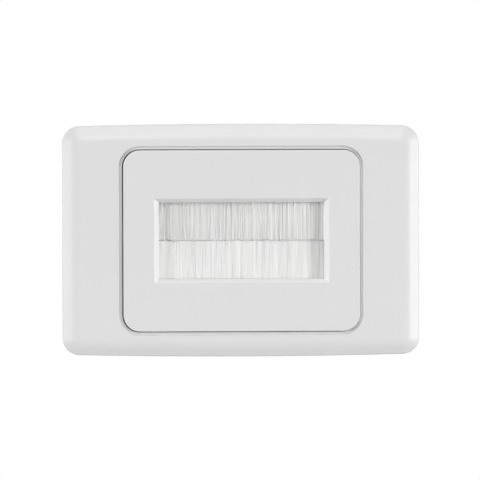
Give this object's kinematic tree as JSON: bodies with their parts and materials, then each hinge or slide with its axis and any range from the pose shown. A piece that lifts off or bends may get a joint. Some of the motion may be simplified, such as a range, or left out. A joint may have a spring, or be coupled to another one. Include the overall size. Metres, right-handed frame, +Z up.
{
  "type": "brush wall plate",
  "caption": "White cable-entry wall plate: a clip-on cover round a raised panel whose bevelled window is closed by two facing rows of soft bristles.",
  "frame": {"origin": "midway between the two wall-screw slots, in the wall plane at the back of the base", "axes": "+X to the right along the plate's long side, +Y into the wall, +Z up; the front faces -Y"},
  "size_m": [0.116, 0.01, 0.0754],
  "materials": {
    "white_plastic": "satin moulded",
    "channel_metal": "mill finish, folded and crimped",
    "wire_steel": "drawn",
    "nylon_filament": "white translucent filament",
    "bar_plastic": "matte moulded",
    "screw_steel": "bright zinc plated"
  },
  "bodies": {
    "root": {"surround_cover": "white_plastic", "base_plate": "white_plastic", "upper_brush_channel": "channel_metal", "lower_brush_channel": "channel_metal", "upper_core_wire": "wire_steel", "lower_core_wire": "wire_steel", "upper_bristles": "nylon_filament", "lower_bristles": "nylon_filament", "upper_clamp_bar": "bar_plastic", "lower_clamp_bar": "bar_plastic", "clamp_screws": "screw_steel"}
  },
  "joints": []
}
